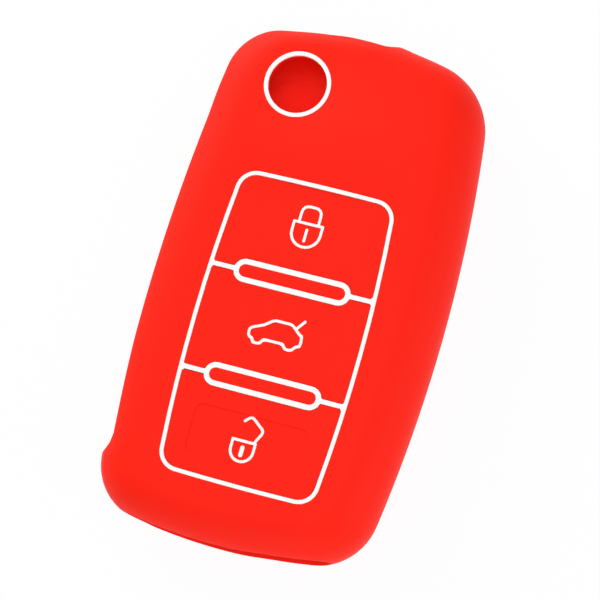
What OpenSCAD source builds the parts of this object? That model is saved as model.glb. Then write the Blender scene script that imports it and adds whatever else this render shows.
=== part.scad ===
// Silicone cover for a folding car key fob.
// It lies on its flat back, with the release window towards +Y and the key-ring slot towards -Y.
// The blade side is at -X and the grip side at +X.

/* [Overall size] */
// Length, from the key-ring end to the window end
body_length = 79.1; // [77:0.1:84]
// Width across the grip
body_width = 45; // [44:0.1:48]
// Height, from the back face to the front face
body_height = 17.5; // [16.5:0.25:19]
// Thickness of the front wall
front_wall = 1.6; // [1.5:0.1:2]
// Thickness of the side and end walls
side_wall = 1.6; // [1.2:0.1:2]
// Thickness of the back wall
back_wall = 1.4; // [1:0.1:2]

/* [Outline] */
// Radius of the bowed grip side
grip_side_r = 230; // [150:1:400]
// Radius of the flatter blade side
blade_side_r = 286; // [200:1:500]
// Radius of the window end
window_end_r = 55; // [45:1:90]
// Radius of the key-ring end
ring_end_r = 86; // [55:1:120]
// Where along the body the grip side is widest
grip_apex_y = 0.75; // [-4:0.25:4]
// Where along the body the blade side is widest
blade_apex_y = -5.75; // [-10:0.25:5]
// Where across the body the window end is longest
window_apex_x = -0.6; // [-3:0.1:3]
// Where across the body the key-ring end is longest
ring_apex_x = -1.8; // [-3:0.1:3]
// Corner radius, grip side at the window end
grip_window_corner_r = 10.2; // [8:0.1:12]
// Corner radius, blade side at the window end
blade_window_corner_r = 9.7; // [8:0.1:12]
// Corner radius, blade side at the key-ring end
blade_ring_corner_r = 8.5; // [7.5:0.1:12]
// Corner radius, grip side at the key-ring end
grip_ring_corner_r = 9.4; // [8:0.1:12]

/* [Pillowed edges] */
// Width of the front shoulder along the sides
front_side_shoulder = 7.7; // [6.5:0.1:8]
// Width of the front shoulder at the ends
front_end_shoulder = 6.2; // [5:0.1:6.4]
// Width of the back shoulder along the sides
back_side_shoulder = 5.7; // [4:0.1:7]
// Width of the back shoulder at the ends
back_end_shoulder = 5; // [4:0.1:7]
// How much narrower the inner shoulders are than the outer ones
shoulder_tuck = 1.3; // [0.5:0.1:1.5]
// Corner radius of the flat front and the flat back
flat_corner_r = 5; // [4:0.1:6]
// Fullness of the edge: 2 is an ellipse, and more is squarer
edge_fullness = 2.2; // [1.9:0.1:2.8]

/* [Release window] */
// Radius of the window over the fob's release button
window_r = 4.43; // [4:0.01:4.6]
// Distance of the window's centre from the blade side
window_from_side = 15.48; // [15:0.01:17]
// Distance of the window's centre from the window end
window_from_end = 10.67; // [10.5:0.01:12]

/* [Blade slot] */
// Lower lip of the slot, above the back face
blade_slot_low = 5.5; // [4.5:0.1:6.5]
// Upper lip of the slot, above the back face
blade_slot_high = 15; // [12:0.1:15.2]
// Where the slot starts on the blade side
blade_slot_start_y = -30.7; // [-31.5:0.1:-26]
// Where the slot ends on the window end
blade_slot_end_x = 5.4; // [3:0.1:8]
// Corner radius at both ends of the slot
blade_slot_corner_r = 3; // [2:0.1:3.2]
// How far the slot's cut reaches in from the widest part of the outline
blade_slot_reach = 9; // [7:0.1:11]

/* [Key-ring slot] */
// Distance of the slot's ends from the sides of the cover
ring_slot_margin = 6.5; // [6:0.25:9]
// Lower lip of the slot, above the back face
ring_slot_low = 6; // [5:0.1:7]
// Height of the slot, which is also the diameter of its round ends
ring_slot_height = 6.5; // [5:0.1:7]
// Slot centre across the body
ring_slot_x = -0.4; // [-1:0.1:1]

/* [Keypad] */
// Keypad centre across the body
keypad_x = 0.36; // [0:0.01:0.8]
// Distance from the cover's side to the middle of the white line
keypad_side_margin = 9.9; // [9.7:0.05:10.5]
// Distance from the window end to the middle of the white line
keypad_window_margin = 24.94; // [24.5:0.01:26]
// Distance from the key-ring end to the middle of the white line
keypad_ring_margin = 8.8; // [8.5:0.01:9.5]
// Radius of the keypad's bowed sides
keypad_side_r = 243; // [150:1:400]
// Radius of the keypad's bowed ends
keypad_end_r = 374; // [200:1:600]
// Corner radius of the keypad, at the middle of the line
keypad_corner_r = 2.8; // [2:0.1:3.5]
// Distance between the two dividers, as a share of the keypad's length
divider_share = 0.3472; // [0.33:0.0001:0.36]
// How far the dividers sit off the keypad's centre, towards the window end
divider_shift = 0.14; // [0:0.02:0.4]
// Length of the link from a divider's long loop to the frame
link_length = 3.7; // [3:0.1:5]
// Height of a divider's long loop
loop_height = 3.5; // [3:0.1:4]

/* [White lines] */
// Depth of the white frame and ring in the front wall
inlay_depth = 0.4; // [0.3:0.05:0.6]
// Depth of the white symbols in their pads
symbol_depth = 0.3; // [0.2:0.05:0.4]
// Line width of the frame
frame_line = 0.6; // [0.4:0.02:0.8]
// Line width of the ring round the window
ring_line = 0.62; // [0.4:0.02:0.8]
// Line width of a divider's loop
loop_line = 0.8; // [0.5:0.02:1]
// Line width of the links between loops and frame
link_line = 0.7; // [0.5:0.02:1]
// Line width of the symbols
symbol_line = 0.42; // [0.3:0.02:0.5]

/* [Pads and their webs] */
// Travel of a pad, which is the step in its web
pad_travel = 0.6; // [0.4:0.05:0.8]
// Running gap between a pad and what is round it
pad_gap = 0.05; // [0.03:0.01:0.1]
// Thickness of the flexing web round a pad
web_t = 0.35; // [0.25:0.05:0.5]
// How far a web reaches in under its pad
web_flange = 1.2; // [0.8:0.1:1.6]
// How far a web reaches out under the front wall
web_foot = 0.3; // [0.2:0.1:0.5]
// How far a web's riser stands in from the white lines
riser_inset = 0.6; // [0.4:0.1:1]
// Corner radius of a web's riser
riser_corner_r = 2; // [1.8:0.1:3]
// Radius of the nub under a pad, as a share of the middle pad's height
nub_share = 0.2; // [0.12:0.01:0.24]
// Height of the nub under a pad
nub_h = 0.7; // [0.4:0.05:0.8]

/* [Finger dishes] */
// Radius of the round dish in the lock pad, as a share of the keypad's width
bowl_share = 0.357; // [0.28:0.001:0.4]
// Depth of the round dish in the lock pad
bowl_depth = 0.3; // [0.15:0.05:0.35]
// Height of the round dish's centre over the first divider, as a share of the keypad's length
bowl_rise_share = 0.28; // [0.24:0.005:0.29]
// Distance from the end of the unlock pad's oblong dish to the middle of the white line
tray_margin = 3.95; // [3:0.05:5.5]
// Height of the oblong dish in the unlock pad
tray_h = 7.3; // [7.2:0.1:8.5]
// Depth of the oblong dish in the unlock pad
tray_depth = 0.15; // [0.1:0.05:0.3]
// Corner radius of the oblong dish
tray_corner_r = 1.2; // [0.8:0.1:2]

/* [Padlock symbols] */
// Width of the closed padlock's body, between line middles
lock_body_w = 4.34; // [3.6:0.02:4.6]
// Height of the closed padlock's body, between line middles
lock_body_h = 3.57; // [3:0.01:4]
// Width of the closed padlock's shackle, between line middles
lock_shackle_w = 2.94; // [2.4:0.02:3.2]
// Height of the closed padlock's shackle above its body
lock_shackle_h = 2.55; // [2:0.05:3]
// Corner radius of the closed padlock's shackle
lock_shackle_r = 1.15; // [0.6:0.05:1.3]
// Length of the closed padlock's keyway
lock_keyway_h = 2.15; // [1.6:0.05:2.4]
// Width of the open padlock's body, between line middles
unlock_body_w = 3.4; // [3:0.02:3.8]
// Height of the open padlock's body, between line middles
unlock_body_h = 3; // [2.6:0.01:3.3]
// Width of the open padlock's keyway
unlock_keyway_w = 0.62; // [0.4:0.02:0.8]
// Length of the open padlock's keyway
unlock_keyway_h = 1.75; // [1.2:0.05:2]
// Size of the open padlock's swung shackle
unlock_shackle_size = 3.6; // [3:0.05:3.8]
// Corner radius of the open padlock's shackle
unlock_shackle_r = 0.6; // [0.3:0.05:0.8]

/* [Car symbol] */
// Length of the car, between line middles
car_length = 7.85; // [6:0.05:9]
// Height of the car from its sill to its roof, between line middles
car_height = 3.1; // [2.5:0.05:3.6]
// Rounding of the car's corners
car_corner_r = 0.35; // [0.1:0.05:0.5]

/* [Hidden] */

red = [1, 0.17, 0.12];
deep_red = [0.86, 0.1, 0.07];
white = [0.97, 0.97, 0.96];

// Every cut runs past the face that it leaves by this much
overrun = 1;
// Steps along a side or an end of an outline, and round a corner
side_steps = 8;
corner_steps = 9;
// Steps up the outer and the inner edge
outer_steps = 8;
inner_steps = 6;
// Steps round a soft corner and round the end of a line
soft_steps = 4;
// A corner is softened where the path turns by at least this angle, and takes up to this share
// of the shorter stretch beside it
least_soft_turn = 20;
soft_share = 0.45;
cap_steps = 6;
// Steps round the bottom of a padlock's body
bottom_steps = 14;
// Bands of the round dish, from its middle to its rim
bowl_steps = 6;
round_fn = 96;

// An outline turns by this much from one side to the next
quarter_turn = 90;

rim_z = body_height / 2;
// The slots cut the rim away, so there their lower lips stand out the furthest, and the form is
// drawn that much larger for the whole to measure its stated length and width
blade_lip_inset = back_side_shoulder * edge_share((rim_z - blade_slot_low) / rim_z);
window_lip_inset = back_end_shoulder * edge_share((rim_z - blade_slot_low) / rim_z);
ring_lip_inset = back_end_shoulder * edge_share((rim_z - ring_slot_low) / rim_z);
ceiling_z = body_height - front_wall;
plate_z = ceiling_z + pad_travel;
inlay_z = body_height - inlay_depth;
ring_r = window_r + ring_line;
window_x = window_from_side - body_width / 2;
window_y = body_length / 2 - window_from_end;
ring_slot_width = body_width - 2 * ring_slot_margin;

keypad_width = body_width - 2 * keypad_side_margin;
keypad_length = body_length - keypad_window_margin - keypad_ring_margin;
keypad_y = (keypad_ring_margin - keypad_window_margin) / 2;
divider_spacing = divider_share * keypad_length;
loop_length = keypad_width - 2 * link_length;
// Pads are counted from the window end: 0 is lock, 1 is boot and 2 is unlock
divider_ys = [divider_shift + divider_spacing / 2, divider_shift - divider_spacing / 2];
keypad_reach = keypad_length / 2;
keypad_half = keypad_width / 2;
// Half the keypad's width at its ends, where the bow has drawn it in
keypad_end_half = keypad_half - (keypad_side_r - sqrt(pow(keypad_side_r, 2) - pow(keypad_reach, 2)));
// Lower and upper edge of the clear field of each pad, between a loop and the frame or two loops
field_lows = [
    divider_ys[0] + loop_height / 2, divider_ys[1] + loop_height / 2, frame_line / 2 - keypad_reach
];
field_highs = [
    keypad_reach - frame_line / 2, divider_ys[0] - loop_height / 2, divider_ys[1] - loop_height / 2
];
field_ys = (field_lows + field_highs) / 2;
field_hs = field_highs - field_lows;
riser_w = 2 * (keypad_end_half - frame_line / 2 - riser_inset);
nub_r = nub_share * field_hs[1];
tray_w = keypad_width - 2 * tray_margin;

bowl_r = bowl_share * keypad_width;
// The round dish is turned from a shallow arc of this large radius
bowl_arc_r = (pow(bowl_r, 2) + pow(bowl_depth, 2)) / (2 * bowl_depth);
bowl_y = divider_ys[0] + bowl_rise_share * keypad_length;

// The car in shares of its length and height: the sill from rear to front with a dip for each wheel,
// then the nose, the roof and the rear
car_body_shares = [
    [0.424, 0.03], [0.36, -0.2], [0.235, -0.21], [0.18, 0.01], [-0.197, 0], [-0.25, -0.24],
    [-0.38, -0.26], [-0.412, -0.065], [-0.483, 0], [-0.5, 0.13], [-0.5, 0.35], [-0.468, 0.435],
    [-0.258, 0.67], [-0.086, 1], [0.258, 1], [0.43, 0.63], [0.49, 0.565], [0.5, 0.087]
];
// The raised boot lid, from its hinge to its edge
car_lid_shares = [[0.341, 0.83], [0.474, 1.28]];
// The car's place on its pad, in shares of its length and height
car_place_shares = [-0.022, -0.366];

// The swung shackle, from its hinge by the body's right shoulder to its free tip, in shares of its size
unlock_shackle_shares = [[-0.083, 0], [0.206, 0.556], [-0.425, 1.042], [-0.667, 0.8]];
// Place of each padlock's top line over the middle of its pad's field, in shares of the field's height
lock_place_share = 0.071;
unlock_place_share = -0.013;
// Place of the open padlock across its pad, in shares of its width
unlock_across_share = -0.1;

// How far the pillowed edge has drawn in at a share of its height over or under the rim
function edge_share(t) = 1 - pow(1 - pow(t, edge_fullness), 1 / edge_fullness);

function unit(a) = [cos(a), sin(a)];

function turned(v) = [-v[1], v[0]];

function direction(a, b) = (b - a) / norm(b - a);

function reversed(list) = [for (i = [len(list) - 1 : -1 : 0]) list[i]];

// The angle of a vector, taken within half a turn of another angle
function angle_near(v, near) =
    let (a = atan2(v[1], v[0]))
    a + 360 * round((near - a) / 360);

// Points along an arc, without its last one
function arc_points(centre, r, from, to, steps) =
    [for (k = [0 : steps - 1]) centre + r * unit(from + (to - from) * k / steps)];

// Centre of the corner circle that touches two large arcs from inside,
// given the arcs' centres and their radii less the corner's radius
function corner_centre(a, ra, b, rb) =
    let (
        gap = norm(b - a),
        dir = (b - a) / gap,
        along = (pow(ra, 2) - pow(rb, 2) + pow(gap, 2)) / (2 * gap),
        out = sqrt(max(0, pow(ra, 2) - pow(along, 2)))
    )
    a + along * dir + out * turned(dir);

// An outline of four bowed sides, each [centre, radius], and the four corners between them,
// counted anticlockwise from the +X side
function bowed_outline(sides, corners) =
    let (
        centres = [
            for (i = [0 : 3])
                let (j = (i + 1) % 4)
                corner_centre(
                    sides[i][0], sides[i][1] - corners[i],
                    sides[j][0], sides[j][1] - corners[i]
                )
        ]
    )
    [
        for (i = [0 : 3])
            let (
                c = sides[i][0],
                from = angle_near(centres[(i + 3) % 4] - c, quarter_turn * i),
                to = angle_near(centres[i] - c, quarter_turn * i),
                next = angle_near(centres[i] - sides[(i + 1) % 4][0], quarter_turn * (i + 1))
            )
            each concat(
                arc_points(c, sides[i][1], from, to, side_steps),
                arc_points(centres[i], corners[i], to, next, corner_steps)
            )
    ];

// The cover's outline, drawn in by one distance at the sides and another at the ends,
// with its corner radii a share of the way to those of the flat faces
function body_outline(in_x, in_y, corner_share, trim) =
    let (
        hw = body_width / 2 - in_x,
        hl = body_length / 2 - in_y,
        grip = grip_side_r - in_x,
        blade = blade_side_r - in_x,
        window = window_end_r - in_y,
        ring = ring_end_r - in_y,
        blade_hw = hw + blade_lip_inset,
        window_hl = hl + window_lip_inset,
        ring_hl = hl + ring_lip_inset,
        corners = [
            grip_window_corner_r, blade_window_corner_r, blade_ring_corner_r, grip_ring_corner_r
        ]
    )
    bowed_outline(
        [
            [[hw - grip, grip_apex_y], grip],
            [[window_apex_x, window_hl - window], window],
            [[blade - blade_hw, blade_apex_y], blade],
            [[ring_apex_x, ring - ring_hl], ring]
        ],
        [for (r = corners) r + (flat_corner_r - r) * corner_share - trim]
    );

// The rings of one pillowed half, from the rim to the flat face, in steps of an edge that curves
// through a quarter turn; wall draws the whole half in, and reach is its height
function half_rings(side_shoulder, end_shoulder, wall, reach, steps) =
    [
        for (k = [0 : steps])
            let (
                rise = pow(sin(90 * k / steps), 2 / edge_fullness),
                share = edge_share(rise),
                z = rim_z + reach * rise
            )
            [
                for (p = body_outline(
                    wall + side_shoulder * share, wall + end_shoulder * share, share, wall * (1 - share)
                )) [p[0], p[1], z]
            ]
    ];

// A closed skin over rings of equal length, the lowest first
module skin(rings) {
    n = len(rings[0]);
    m = len(rings);
    polyhedron(
        points = [for (ring = rings) each ring],
        faces = concat(
            [[for (i = [0 : n - 1]) i]],
            [[for (i = [n - 1 : -1 : 0]) (m - 1) * n + i]],
            [
                for (j = [0 : m - 2], i = [0 : n - 1])
                    let (a = j * n + i, b = j * n + (i + 1) % n)
                    each [[a, a + n, b + n], [a, b + n, b]]
            ]
        ),
        convexity = 4
    );
}

// The whole pillowed form, drawn in by the walls where it is the cavity
module pillow(wall, front, back, tuck, steps) {
    front_rings = half_rings(
        front_side_shoulder - tuck, front_end_shoulder - tuck, wall, rim_z - front, steps
    );
    back_rings = half_rings(
        back_side_shoulder - tuck, back_end_shoulder - tuck, wall, back - rim_z, steps
    );
    skin(concat(reversed(back_rings), [for (k = [1 : steps]) front_rings[k]]));
}

// The keypad's bowed outline round its own centre, drawn in by a distance
function keypad_outline(inset) =
    let (
        hw = keypad_half - inset,
        hl = keypad_reach - inset,
        side = keypad_side_r - inset,
        end = keypad_end_r - inset,
        corner = keypad_corner_r - inset
    )
    bowed_outline(
        [[[hw - side, 0], side], [[0, hl - end], end], [[side - hw, 0], side], [[0, end - hl], end]],
        [corner, corner, corner, corner]
    );

// A rectangle with round corners, as points round the origin
function round_rect(w, h, r) =
    [
        for (i = [0 : 3])
            let (sx = i == 0 || i == 3 ? 1 : -1, sy = i < 2 ? 1 : -1)
            each concat(
                arc_points([sx * (w / 2 - r), sy * (h / 2 - r)], r, 90 * i, 90 * (i + 1), cap_steps),
                [[sx * (w / 2 - r), sy * (h / 2 - r)] + r * unit(90 * (i + 1))]
            )
    ];

// A path moved sideways by a distance, with mitred corners; positive is to the right of its run
function moved_path(path, d, closed) =
    let (n = len(path))
    [
        for (i = [0 : n - 1])
            let (
                has_before = closed || i > 0,
                has_after = closed || i < n - 1,
                after = has_after ? direction(path[i], path[(i + 1) % n])
                    : direction(path[i - 1], path[i]),
                before = has_before ? direction(path[(i + n - 1) % n], path[i]) : after,
                sum = -turned(before) - turned(after)
            )
            path[i] + 2 * d * sum / (sum * sum)
    ];

// A path whose sharp corners are drawn off into curves that start up to r from each corner;
// points where it turns little, as along an arc, stay
function soft_path(path, r, closed) =
    let (n = len(path))
    [
        for (i = [0 : n - 1])
            let (
                p = path[i],
                a = path[(i + n - 1) % n],
                b = path[(i + 1) % n],
                is_end = !closed && (i == 0 || i == n - 1)
            )
            each is_end || direction(a, p) * direction(p, b) > cos(least_soft_turn) ? [p] :
                let (
                    from = p + direction(p, a) * min(r, norm(a - p) * soft_share),
                    to = p + direction(p, b) * min(r, norm(b - p) * soft_share)
                )
                [
                    for (k = [0 : soft_steps])
                        let (t = k / soft_steps)
                        pow(1 - t, 2) * from + 2 * t * (1 - t) * p + pow(t, 2) * to
                ]
    ];

// Half a circle round the end of an open line, from its right to its left
function line_cap(end, dir, w) =
    let (a = atan2(dir[1], dir[0]))
    [for (k = [1 : cap_steps - 1]) end + w / 2 * unit(a - 90 + 180 * k / cap_steps)];

// An open line of one width with a round far end, as an outline
function open_line(path, w) =
    let (n = len(path))
    concat(
        moved_path(path, w / 2, false),
        line_cap(path[n - 1], direction(path[n - 2], path[n - 1]), w),
        reversed(moved_path(path, -w / 2, false))
    );

// A closed line of one width, run anticlockwise, as a flat ring
module closed_line(path, w, soft) {
    difference() {
        polygon(soft_path(moved_path(path, w / 2, true), soft + w / 2, true));
        polygon(soft_path(moved_path(path, -w / 2, true), soft, true));
    }
}

module at_keypad(z) {
    translate([keypad_x, keypad_y, z]) children();
}

// A divider's loop, grown by a distance
module loop_shape(grow) {
    polygon(round_rect(loop_length + 2 * grow, loop_height + 2 * grow, loop_height / 2 + grow));
}

// One pad's outline, clear of the white lines by a gap
module pad_shape(i, gap) {
    low = i == 2 ? -keypad_reach : divider_ys[i] + link_line / 2 + gap;
    high = i == 0 ? keypad_reach : divider_ys[i - 1] - link_line / 2 - gap;
    difference() {
        intersection() {
            polygon(keypad_outline(frame_line / 2 + gap));
            translate([-keypad_half, low]) square([keypad_width, high - low]);
        }
        for (y = divider_ys) translate([0, y]) loop_shape(gap);
    }
}

// The white frame with its two dividers
module frame_shape() {
    difference() {
        polygon(keypad_outline(-frame_line / 2));
        for (i = [0 : 2]) pad_shape(i, 0);
        for (y = divider_ys) translate([0, y]) loop_shape(-loop_line);
    }
}

// The closed padlock: a body with a round bottom, under an upright shackle
module lock_shape() {
    r = lock_body_w / 2;
    drop = [0, r - lock_body_h];
    leg = lock_shackle_w / 2;
    closed_line(
        concat([[r, 0], [-r, 0]], arc_points(drop, r, 180, 360, bottom_steps), [drop + [r, 0]]),
        symbol_line, 0
    );
    polygon(open_line(
        soft_path(
            [[-leg, 0], [-leg, lock_shackle_h], [leg, lock_shackle_h], [leg, 0]],
            lock_shackle_r, false
        ),
        symbol_line
    ));
}

// The open padlock: a smaller body with its shackle swung out to the right
module unlock_shape() {
    r = unlock_body_w / 2;
    drop = [0, r - unlock_body_h];
    closed_line(
        concat([[r, 0], [-r, 0]], arc_points(drop, r, 180, 360, bottom_steps), [drop + [r, 0]]),
        symbol_line, 0
    );
    polygon(open_line(
        soft_path(
            [for (p = unlock_shackle_shares) [r, 0] + unlock_shackle_size * p],
            unlock_shackle_r, false
        ),
        symbol_line
    ));
}

// The car seen from its side, with its boot lid up; its sill is at height 0
module car_shape() {
    closed_line(
        reversed([for (p = car_body_shares) [p[0] * car_length, p[1] * car_height]]),
        symbol_line, car_corner_r
    );
    polygon(open_line(
        [for (p = car_lid_shares) [p[0] * car_length, p[1] * car_height]],
        symbol_line
    ));
}

module shell() {
    color(red) difference() {
        pillow(0, 0, 0, 0, outer_steps);
        pillow(side_wall, front_wall, back_wall, shoulder_tuck, inner_steps);
        keypad_cuts();
        window_cuts();
        blade_slot();
        ring_slot();
    }
}

// The three pad openings through the front wall, and the groove for the white frame
module keypad_cuts() {
    at_keypad(ceiling_z - overrun) linear_extrude(front_wall + 2 * overrun)
        for (i = [0 : 2]) pad_shape(i, 0);
    at_keypad(inlay_z) linear_extrude(inlay_depth + overrun) frame_shape();
}

// The release window and the seat of its white ring
module window_cuts() {
    translate([window_x, window_y, ceiling_z - overrun])
        cylinder(r = window_r, h = front_wall + 2 * overrun, $fn = round_fn);
    translate([window_x, window_y, inlay_z])
        cylinder(r = ring_r, h = inlay_depth + overrun, $fn = round_fn);
}

// The slot that the blade swings out of: up the blade side, round the corner and along the window end
module blade_slot() {
    h = blade_slot_high - blade_slot_low;
    reach = body_length / 2 + overrun;
    across = body_width / 2 + overrun;
    translate([-across, 0, 0]) rotate([90, 0, 90]) linear_extrude(blade_slot_reach + overrun)
        slot_end(blade_slot_start_y, reach, h);
    translate([0, reach, 0]) rotate([90, 0, 0]) linear_extrude(blade_slot_reach + overrun)
        mirror([1, 0]) slot_end(-blade_slot_end_x, across, h);
}

// A long flat slot with round corners at its start only
module slot_end(start, end, h) {
    r = blade_slot_corner_r;
    translate([start + r, blade_slot_low]) square([end - start - r, h]);
    translate([start, blade_slot_low + r]) square([end - start, h - 2 * r]);
    for (z = [r, h - r]) translate([start + r, blade_slot_low + z]) circle(r = r, $fn = round_fn);
}

// The slot that the key ring leaves by
module ring_slot() {
    r = ring_slot_height / 2;
    half = ring_slot_width / 2 - r;
    depth = back_end_shoulder + side_wall;
    translate([ring_slot_x, depth - body_length / 2, ring_slot_low + r]) rotate([90, 0, 0])
        linear_extrude(depth + overrun) {
            square([2 * half, ring_slot_height], center = true);
            for (x = [-half, half]) translate([x, 0]) circle(r = r, $fn = round_fn);
        }
}

module release_ring() {
    color(white) translate([window_x, window_y, inlay_z]) difference() {
        cylinder(r = ring_r, h = inlay_depth, $fn = round_fn);
        translate([0, 0, -overrun]) cylinder(r = window_r, h = inlay_depth + 2 * overrun, $fn = round_fn);
    }
}

module button_frame() {
    color(white) at_keypad(inlay_z) linear_extrude(inlay_depth) frame_shape();
}

// A pad: its plate, the core that fills its web, and the nub that meets the fob's own button
module pad_body(i) {
    core_w = riser_w - 2 * (web_t + web_flange + pad_gap);
    core_h = field_hs[i] - 2 * (riser_inset + web_t + web_flange + pad_gap);
    core_corner_r = riser_corner_r - web_t - web_flange - pad_gap;
    at_keypad(plate_z) linear_extrude(body_height - plate_z) pad_shape(i, pad_gap);
    at_keypad(ceiling_z) translate([0, field_ys[i]]) {
        linear_extrude(front_wall) polygon(round_rect(core_w, core_h, core_corner_r));
        translate([0, 0, -nub_h]) cylinder(r = nub_r, h = nub_h + front_wall, $fn = round_fn);
    }
}

// The collar that joins a pad to the front wall: a foot under the wall, a riser and a flange
// under the pad, which roll flat as the pad goes down
module pad_web(i) {
    low = i == 2 ? -body_length : divider_ys[i] + pad_gap;
    high = i == 0 ? body_length : divider_ys[i - 1] - pad_gap;
    riser_h = field_hs[i] - 2 * riser_inset;
    color(deep_red) at_keypad(ceiling_z - web_t) {
        linear_extrude(web_t) difference() {
            intersection() {
                polygon(keypad_outline(-web_foot));
                translate([-body_width, low]) square([2 * body_width, high - low]);
            }
            web_hole(i, riser_h, web_t);
        }
        linear_extrude(web_t + pad_travel) difference() {
            web_hole(i, riser_h, 0);
            web_hole(i, riser_h, web_t);
        }
        translate([0, 0, pad_travel]) linear_extrude(web_t) difference() {
            web_hole(i, riser_h, 0);
            web_hole(i, riser_h, web_t + web_flange);
        }
    }
}

module web_hole(i, riser_h, inset) {
    translate([0, field_ys[i]])
        polygon(round_rect(riser_w - 2 * inset, riser_h - 2 * inset, riser_corner_r - inset));
}

// The shallow round dish that the lock pad's top and its symbol share
module bowl() {
    edge_a = asin(bowl_r / bowl_arc_r);
    at_keypad(body_height - bowl_depth) translate([0, bowl_y]) rotate_extrude($fn = round_fn)
        polygon(concat(
            [for (k = [0 : bowl_steps])
                [0, bowl_arc_r] + bowl_arc_r * unit(edge_a * k / bowl_steps - 90)],
            [[bowl_r, bowl_depth + overrun], [0, bowl_depth + overrun]]
        ));
}

module lock_place(z) {
    at_keypad(z) translate([0, field_ys[0] + lock_place_share * field_hs[0]]) children();
}

module unlock_place(z) {
    at_keypad(z)
        translate([unlock_across_share * unlock_body_w, field_ys[2] + unlock_place_share * field_hs[2]])
            children();
}

module car_place(z) {
    at_keypad(z) translate([car_place_shares[0] * car_length, car_place_shares[1] * car_height])
        children();
}

// A padlock's keyway: a short upright bar, hung a share of the way down the body
module keyway_shape(w, h, body_h) {
    translate([0, -body_h / 2]) polygon(round_rect(w, h, w / 2));
}

module lock_pad() {
    color(red) difference() {
        pad_body(0);
        bowl();
        lock_place(body_height - bowl_depth - symbol_depth)
            linear_extrude(bowl_depth + symbol_depth + overrun) {
                lock_shape();
                keyway_shape(symbol_line, lock_keyway_h, lock_body_h);
            }
    }
}

module lock_symbol() {
    color(white) difference() {
        lock_place(body_height - bowl_depth - symbol_depth)
            linear_extrude(bowl_depth + symbol_depth) lock_shape();
        bowl();
    }
}

module lock_keyway() {
    color(white) difference() {
        lock_place(body_height - bowl_depth - symbol_depth)
            linear_extrude(bowl_depth + symbol_depth)
                keyway_shape(symbol_line, lock_keyway_h, lock_body_h);
        bowl();
    }
}

module lock_web() {
    pad_web(0);
}

module boot_pad() {
    color(red) difference() {
        pad_body(1);
        car_place(body_height - symbol_depth) linear_extrude(symbol_depth + overrun) car_shape();
    }
}

module boot_symbol() {
    color(white) car_place(body_height - symbol_depth) linear_extrude(symbol_depth) car_shape();
}

module boot_web() {
    pad_web(1);
}

module unlock_pad() {
    color(red) difference() {
        pad_body(2);
        at_keypad(body_height - tray_depth) translate([0, field_ys[2]])
            linear_extrude(tray_depth + overrun) polygon(round_rect(tray_w, tray_h, tray_corner_r));
        unlock_place(body_height - tray_depth - symbol_depth)
            linear_extrude(tray_depth + symbol_depth + overrun) {
                unlock_shape();
                keyway_shape(unlock_keyway_w, unlock_keyway_h, unlock_body_h);
            }
    }
}

module unlock_symbol() {
    color(white) unlock_place(body_height - tray_depth - symbol_depth)
        linear_extrude(symbol_depth) unlock_shape();
}

module unlock_keyway() {
    color(white) unlock_place(body_height - tray_depth - symbol_depth)
        linear_extrude(symbol_depth) keyway_shape(unlock_keyway_w, unlock_keyway_h, unlock_body_h);
}

module unlock_web() {
    pad_web(2);
}

shell();
release_ring();
button_frame();
lock_pad();
lock_symbol();
lock_keyway();
lock_web();
boot_pad();
boot_symbol();
boot_web();
unlock_pad();
unlock_symbol();
unlock_keyway();
unlock_web();
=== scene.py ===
"""The looks of a silicone cover for a folding car key fob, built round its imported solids."""

import math

import bmesh
import bpy
from bpy.props import FloatProperty, FloatVectorProperty, PointerProperty
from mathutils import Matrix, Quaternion, Vector


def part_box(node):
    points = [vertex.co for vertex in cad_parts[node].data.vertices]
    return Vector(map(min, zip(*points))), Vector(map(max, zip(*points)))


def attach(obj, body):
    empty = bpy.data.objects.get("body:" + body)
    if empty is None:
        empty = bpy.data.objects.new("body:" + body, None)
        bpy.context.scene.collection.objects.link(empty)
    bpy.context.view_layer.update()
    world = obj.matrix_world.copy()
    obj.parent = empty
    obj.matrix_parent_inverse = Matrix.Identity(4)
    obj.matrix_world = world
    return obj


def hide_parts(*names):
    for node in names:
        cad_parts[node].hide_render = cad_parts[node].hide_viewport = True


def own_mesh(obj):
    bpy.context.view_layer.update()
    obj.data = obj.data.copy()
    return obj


bl_info = {
    "name": "Key fob cover",
    "version": (1, 0, 0),
    "blender": (4, 5, 0),
    "location": "3D View > Sidebar > Key fob cover",
    "description": "Builds a silicone cover for a folding car key fob, with its pads and white lines",
    "category": "Add Mesh",
}

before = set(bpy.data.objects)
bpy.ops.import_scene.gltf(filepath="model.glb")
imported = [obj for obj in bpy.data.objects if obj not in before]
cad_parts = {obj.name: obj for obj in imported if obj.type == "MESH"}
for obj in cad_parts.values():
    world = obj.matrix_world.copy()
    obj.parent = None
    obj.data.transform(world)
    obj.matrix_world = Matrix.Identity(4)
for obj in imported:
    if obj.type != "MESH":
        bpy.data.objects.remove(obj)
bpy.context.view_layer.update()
# Lengths are in metres
MM = 0.001
X, Y = 0, 1

# Where the solids lie
SHELL_LOW, SHELL_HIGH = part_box("shell")
PAD_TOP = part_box("button_frame")[1].z
GROOVE_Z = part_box("button_frame")[0].z
KEYPAD_LOW, KEYPAD_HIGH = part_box("button_frame")
RING_LOW, RING_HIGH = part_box("release_ring")

# The sleeve's outline, with the sizes that its solid has. Radii of the four bowed sides, and where
# along each it stands out the furthest
GRIP_SIDE_R = 230 * MM
WINDOW_END_R = 55 * MM
BLADE_SIDE_R = 286 * MM
RING_END_R = 86 * MM
GRIP_APEX_Y = 0.75 * MM
WINDOW_APEX_X = -0.6 * MM
BLADE_APEX_Y = -5.75 * MM
RING_APEX_X = -1.8 * MM
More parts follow.
